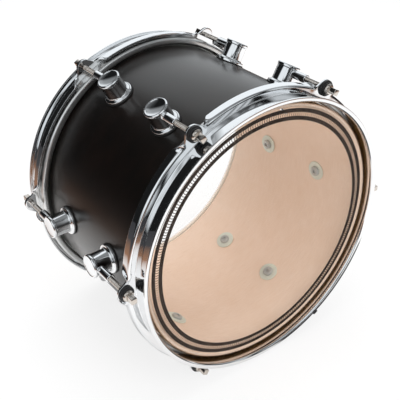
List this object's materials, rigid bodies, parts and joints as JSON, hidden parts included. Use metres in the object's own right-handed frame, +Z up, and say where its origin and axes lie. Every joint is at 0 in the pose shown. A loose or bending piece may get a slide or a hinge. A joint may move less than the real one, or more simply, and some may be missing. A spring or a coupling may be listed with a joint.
{
  "type": "tom drum with clear head",
  "caption": "Lacquered wood tom drum lying on its side, clear heads under flanged chrome hoops drawn down by tension rods into post lugs.",
  "frame": {"origin": "on the floor under the middle of the drum lying on its side", "axes": "+Z up, -Y out of the batter head along the drum's axis, +X to the right seen from the batter head"},
  "size_m": [0.358, 0.2496, 0.334],
  "materials": {
    "shell_lacquer": "satin",
    "chrome_plate": "polished",
    "rod_nickel": "bright nickel",
    "screw_zinc": "zinc plated",
    "washer_nylon": "matte",
    "gasket_rubber": "matte",
    "clear_film": "clear polished",
    "ring_print": "printed",
    "flesh_aluminium": "satin"
  },
  "bodies": {
    "shell": {"shell": "shell_lacquer", "vent_grommet": "chrome_plate", "batter_lug_1": "chrome_plate", "batter_lug_nut_1": "chrome_plate", "batter_lug_2": "chrome_plate", "batter_lug_nut_2": "chrome_plate", "batter_lug_3": "chrome_plate", "batter_lug_nut_3": "chrome_plate", "batter_lug_4": "chrome_plate", "batter_lug_nut_4": "chrome_plate", "batter_lug_5": "chrome_plate", "batter_lug_nut_5": "chrome_plate", "batter_lug_6": "chrome_plate", "batter_lug_nut_6": "chrome_plate", "batter_lug_gaskets": "gasket_rubber", "batter_lug_screws": "screw_zinc", "batter_screw_washers": "screw_zinc", "resonant_lug_1": "chrome_plate", "resonant_lug_nut_1": "chrome_plate", "resonant_lug_2": "chrome_plate", "resonant_lug_nut_2": "chrome_plate", "resonant_lug_3": "chrome_plate", "resonant_lug_nut_3": "chrome_plate", "resonant_lug_4": "chrome_plate", "resonant_lug_nut_4": "chrome_plate", "resonant_lug_5": "chrome_plate", "resonant_lug_nut_5": "chrome_plate", "resonant_lug_6": "chrome_plate", "resonant_lug_nut_6": "chrome_plate", "resonant_lug_gaskets": "gasket_rubber", "resonant_lug_screws": "screw_zinc", "resonant_screw_washers": "screw_zinc"},
    "batter_hoop": {"batter_hoop": "chrome_plate", "batter_rod_washers": "washer_nylon"},
    "batter_head": {"batter_top_film": "clear_film", "batter_bottom_film": "clear_film", "batter_control_ring": "ring_print", "batter_flesh_hoop": "flesh_aluminium"},
    "batter_rod_1": {"batter_rod_1": "rod_nickel"},
    "batter_rod_2": {"batter_rod_2": "rod_nickel"},
    "batter_rod_3": {"batter_rod_3": "rod_nickel"},
    "batter_rod_4": {"batter_rod_4": "rod_nickel"},
    "batter_rod_5": {"batter_rod_5": "rod_nickel"},
    "batter_rod_6": {"batter_rod_6": "rod_nickel"},
    "resonant_hoop": {"resonant_hoop": "chrome_plate", "resonant_rod_washers": "washer_nylon"},
    "resonant_head": {"resonant_film": "clear_film", "resonant_flesh_hoop": "flesh_aluminium"},
    "resonant_rod_1": {"resonant_rod_1": "rod_nickel"},
    "resonant_rod_2": {"resonant_rod_2": "rod_nickel"},
    "resonant_rod_3": {"resonant_rod_3": "rod_nickel"},
    "resonant_rod_4": {"resonant_rod_4": "rod_nickel"},
    "resonant_rod_5": {"resonant_rod_5": "rod_nickel"},
    "resonant_rod_6": {"resonant_rod_6": "rod_nickel"}
  },
  "joints": [
    {"name": "batter_hoop_lift", "type": "slide", "parent": "shell", "child": "batter_hoop", "axis": [0, -1, 0], "range_m": [0, 0.02]},
    {"name": "batter_head_lift", "type": "slide", "parent": "shell", "child": "batter_head", "axis": [0, -1, 0], "range_m": [0, 0.01]},
    {"name": "batter_rod_1_turn", "type": "hinge", "parent": "batter_hoop", "child": "batter_rod_1", "pos_m": [0.17, -0.1143, 0.167], "axis": [0, -1, 0], "range_deg": [0, 6804]},
    {"name": "batter_rod_2_turn", "type": "hinge", "parent": "batter_hoop", "child": "batter_rod_2", "pos_m": [0.085, -0.1143, 0.31422], "axis": [0, -1, 0], "range_deg": [0, 6804]},
    {"name": "batter_rod_3_turn", "type": "hinge", "parent": "batter_hoop", "child": "batter_rod_3", "pos_m": [-0.085, -0.1143, 0.31422], "axis": [0, -1, 0], "range_deg": [0, 6804]},
    {"name": "batter_rod_4_turn", "type": "hinge", "parent": "batter_hoop", "child": "batter_rod_4", "pos_m": [-0.17, -0.1143, 0.167], "axis": [0, -1, 0], "range_deg": [0, 6804]},
    {"name": "batter_rod_5_turn", "type": "hinge", "parent": "batter_hoop", "child": "batter_rod_5", "pos_m": [-0.085, -0.1143, 0.01978], "axis": [0, -1, 0], "range_deg": [0, 6804]},
    {"name": "batter_rod_6_turn", "type": "hinge", "parent": "batter_hoop", "child": "batter_rod_6", "pos_m": [0.085, -0.1143, 0.01978], "axis": [0, -1, 0], "range_deg": [0, 6804]},
    {"name": "resonant_hoop_lift", "type": "slide", "parent": "shell", "child": "resonant_hoop", "axis": [0, 1, 0], "range_m": [0, 0.02]},
    {"name": "resonant_head_lift", "type": "slide", "parent": "shell", "child": "resonant_head", "axis": [0, 1, 0], "range_m": [0, 0.01]},
    {"name": "resonant_rod_1_turn", "type": "hinge", "parent": "resonant_hoop", "child": "resonant_rod_1", "pos_m": [0.17, 0.1143, 0.167], "axis": [0, 1, 0], "range_deg": [0, 6804]},
    {"name": "resonant_rod_2_turn", "type": "hinge", "parent": "resonant_hoop", "child": "resonant_rod_2", "pos_m": [0.085, 0.1143, 0.31422], "axis": [0, 1, 0], "range_deg": [0, 6804]},
    {"name": "resonant_rod_3_turn", "type": "hinge", "parent": "resonant_hoop", "child": "resonant_rod_3", "pos_m": [-0.085, 0.1143, 0.31422], "axis": [0, 1, 0], "range_deg": [0, 6804]},
    {"name": "resonant_rod_4_turn", "type": "hinge", "parent": "resonant_hoop", "child": "resonant_rod_4", "pos_m": [-0.17, 0.1143, 0.167], "axis": [0, 1, 0], "range_deg": [0, 6804]},
    {"name": "resonant_rod_5_turn", "type": "hinge", "parent": "resonant_hoop", "child": "resonant_rod_5", "pos_m": [-0.085, 0.1143, 0.01978], "axis": [0, 1, 0], "range_deg": [0, 6804]},
    {"name": "resonant_rod_6_turn", "type": "hinge", "parent": "resonant_hoop", "child": "resonant_rod_6", "pos_m": [0.085, 0.1143, 0.01978], "axis": [0, 1, 0], "range_deg": [0, 6804]}
  ],
  "couplings": [
    {"joint": "batter_head_lift", "follows": "batter_hoop_lift", "ratio": 0.5},
    {"joint": "batter_rod_1_turn", "follows": "batter_hoop_lift", "rad_per_m": 5936.9},
    {"joint": "batter_rod_2_turn", "follows": "batter_hoop_lift", "rad_per_m": 5936.9},
    {"joint": "batter_rod_3_turn", "follows": "batter_hoop_lift", "rad_per_m": 5936.9},
    {"joint": "batter_rod_4_turn", "follows": "batter_hoop_lift", "rad_per_m": 5936.9},
    {"joint": "batter_rod_5_turn", "follows": "batter_hoop_lift", "rad_per_m": 5936.9},
    {"joint": "batter_rod_6_turn", "follows": "batter_hoop_lift", "rad_per_m": 5936.9},
    {"joint": "resonant_head_lift", "follows": "resonant_hoop_lift", "ratio": 0.5},
    {"joint": "resonant_rod_1_turn", "follows": "resonant_hoop_lift", "rad_per_m": 5936.9},
    {"joint": "resonant_rod_2_turn", "follows": "resonant_hoop_lift", "rad_per_m": 5936.9},
    {"joint": "resonant_rod_3_turn", "follows": "resonant_hoop_lift", "rad_per_m": 5936.9},
    {"joint": "resonant_rod_4_turn", "follows": "resonant_hoop_lift", "rad_per_m": 5936.9},
    {"joint": "resonant_rod_5_turn", "follows": "resonant_hoop_lift", "rad_per_m": 5936.9},
    {"joint": "resonant_rod_6_turn", "follows": "resonant_hoop_lift", "rad_per_m": 5936.9}
  ]
}
